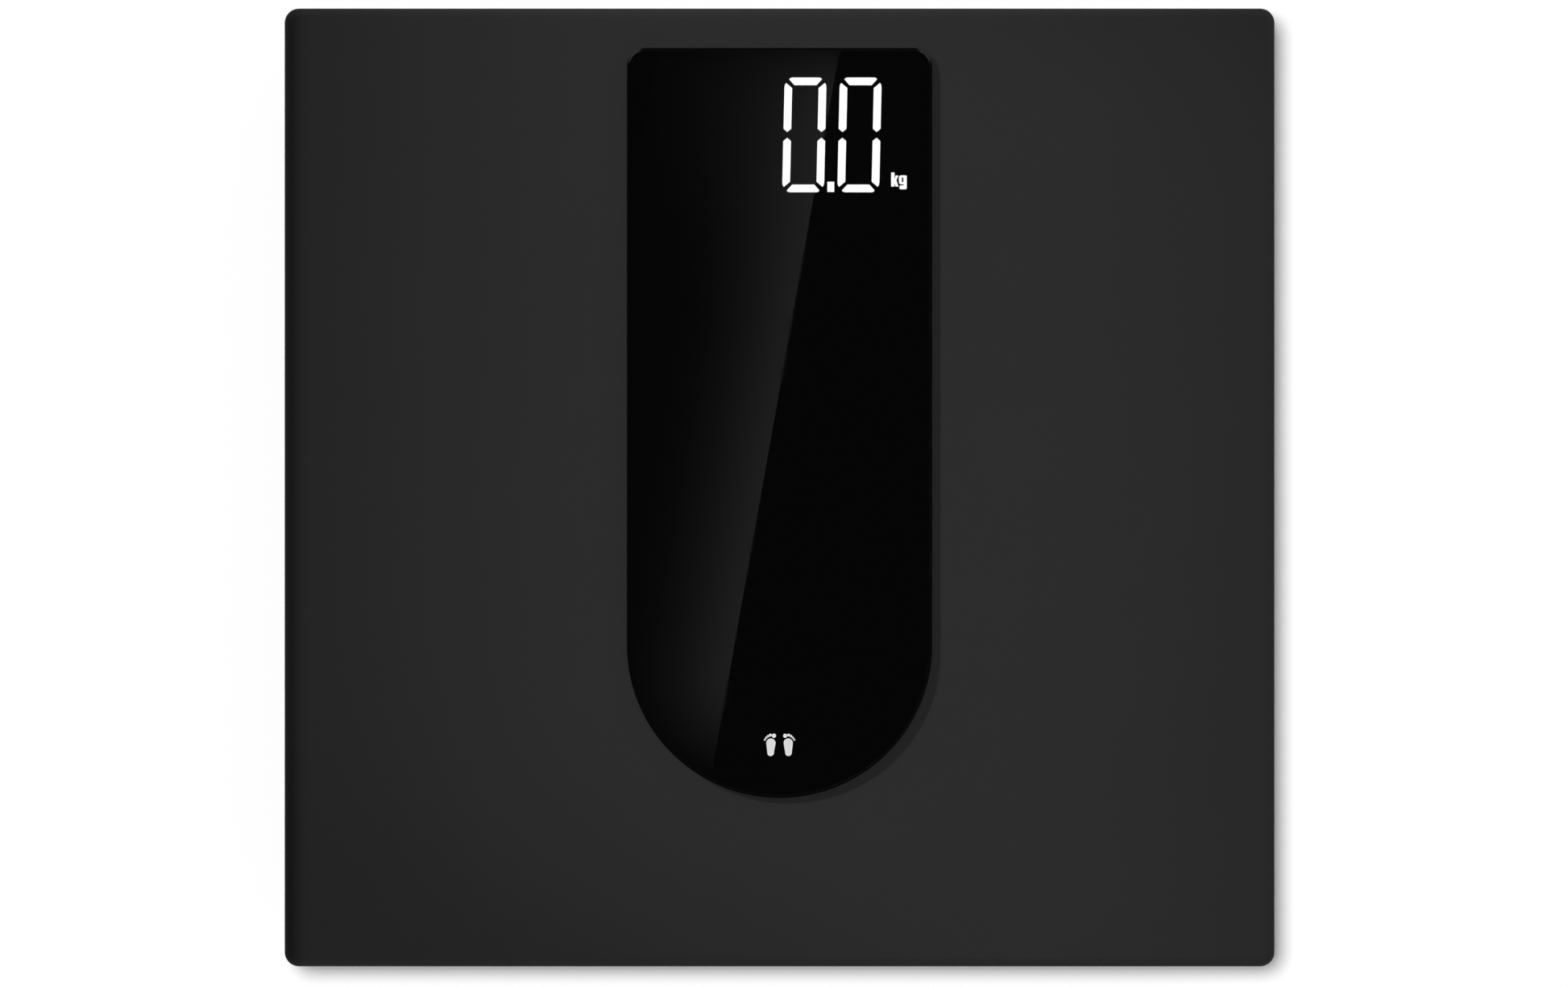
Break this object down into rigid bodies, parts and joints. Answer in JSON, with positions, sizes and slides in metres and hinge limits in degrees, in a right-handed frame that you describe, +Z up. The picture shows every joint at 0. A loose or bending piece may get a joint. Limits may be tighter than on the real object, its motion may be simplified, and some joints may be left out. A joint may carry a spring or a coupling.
{
  "type": "digital bathroom scale",
  "caption": "Flat digital bathroom scale with a dark steel platform, raised glossy display panel, lit digits, load-cell feet and a battery bay beneath.",
  "frame": {"origin": "centre of the footprint, on the floor that the foot pads rest on", "axes": "+Z up, +Y towards the display end, +X to the right of a person who faces the display"},
  "size_m": [0.31, 0.3, 0.027],
  "materials": {
    "platform_paint": "fine matte powder coat",
    "panel_acrylic": "smoked, polished",
    "panel_film": "black film",
    "adhesive": "foam adhesive",
    "symbol_white": "printed",
    "display_black": "matte",
    "display_lit": "lit",
    "display_unlit": "unlit diffuser",
    "tray_plastic": "fine moulded grain",
    "foot_rubber": "matte",
    "formed_steel": "zinc plated",
    "screw_steel": "zinc plated",
    "holder_plastic": "natural moulding",
    "board_green": "solder mask",
    "header_plastic": "natural moulding",
    "chip_black": "moulded",
    "component_tan": "lacquered",
    "lamp_white": "phosphor",
    "gauge_white": "silicone",
    "lead_grey": "sleeved",
    "lead_red": "insulated wire",
    "ribbon_grey": "flat cable",
    "battery_can": "plain jacket",
    "contact_nickel": "nickel plated",
    "label_silver": "blank foil label",
    "button_grey": "moulded"
  },
  "bodies": {
    "platform": {"tread_plate": "platform_paint", "plate_standoffs": "formed_steel", "stiffener_left": "formed_steel", "stiffener_right": "formed_steel", "panel_tape": "adhesive", "panel_backing": "panel_film", "display_panel": "panel_acrylic", "panel_symbol": "symbol_white", "base_tray": "tray_plastic", "tray_screws": "screw_steel", "rating_label": "label_silver", "display_housing": "display_black", "digit_ones": "display_lit", "digit_tenths": "display_lit", "decimal_point": "display_lit", "unit_symbol": "display_lit", "unlit_segments": "display_unlit", "display_board": "board_green", "display_leds": "lamp_white", "display_header": "header_plastic", "display_screws": "screw_steel", "ribbon_cable": "ribbon_grey", "main_board": "board_green", "controller_chip": "chip_black", "board_components": "component_tan", "board_headers": "header_plastic", "board_screws": "screw_steel", "unit_switch": "chip_black", "battery_1": "battery_can", "battery_2": "battery_can", "battery_3": "battery_can", "contact_plates": "contact_nickel", "contact_springs": "contact_nickel", "battery_leads": "lead_red", "strain_gauges": "gauge_white", "holder_screws": "screw_steel", "load_cell_front_left": "formed_steel", "cell_holder_front_left": "holder_plastic", "cell_lead_front_left": "lead_grey", "load_cell_front_right": "formed_steel", "cell_holder_front_right": "holder_plastic", "cell_lead_front_right": "lead_grey", "load_cell_back_left": "formed_steel", "cell_holder_back_left": "holder_plastic", "cell_lead_back_left": "lead_grey", "load_cell_back_right": "formed_steel", "cell_holder_back_right": "holder_plastic", "cell_lead_back_right": "lead_grey"},
    "foot_front_left": {"foot_cup_front_left": "tray_plastic", "foot_pad_front_left": "foot_rubber"},
    "foot_front_right": {"foot_cup_front_right": "tray_plastic", "foot_pad_front_right": "foot_rubber"},
    "foot_back_left": {"foot_cup_back_left": "tray_plastic", "foot_pad_back_left": "foot_rubber"},
    "foot_back_right": {"foot_cup_back_right": "tray_plastic", "foot_pad_back_right": "foot_rubber"},
    "battery_door": {"battery_door": "tray_plastic"},
    "unit_button": {"unit_button": "button_grey", "switch_plunger": "header_plastic"}
  },
  "joints": [
    {"name": "foot_front_left_drop", "type": "slide", "parent": "platform", "child": "foot_front_left", "axis": [0, 0, -1], "range_m": [0, 0.0005]},
    {"name": "foot_front_right_drop", "type": "slide", "parent": "platform", "child": "foot_front_right", "axis": [0, 0, -1], "range_m": [0, 0.0005]},
    {"name": "foot_back_left_drop", "type": "slide", "parent": "platform", "child": "foot_back_left", "axis": [0, 0, -1], "range_m": [0, 0.0005]},
    {"name": "foot_back_right_drop", "type": "slide", "parent": "platform", "child": "foot_back_right", "axis": [0, 0, -1], "range_m": [0, 0.0005]},
    {"name": "battery_door_tilt", "type": "hinge", "parent": "platform", "child": "battery_door", "pos_m": [0, -0.06305, 0.00595], "axis": [-1, 0, 0], "range_deg": [0, 75]},
    {"name": "unit_button_press", "type": "slide", "parent": "platform", "child": "unit_button", "axis": [0, 0, 1], "range_m": [0, 0.00035], "stiffness_N_per_m": 4000}
  ]
}
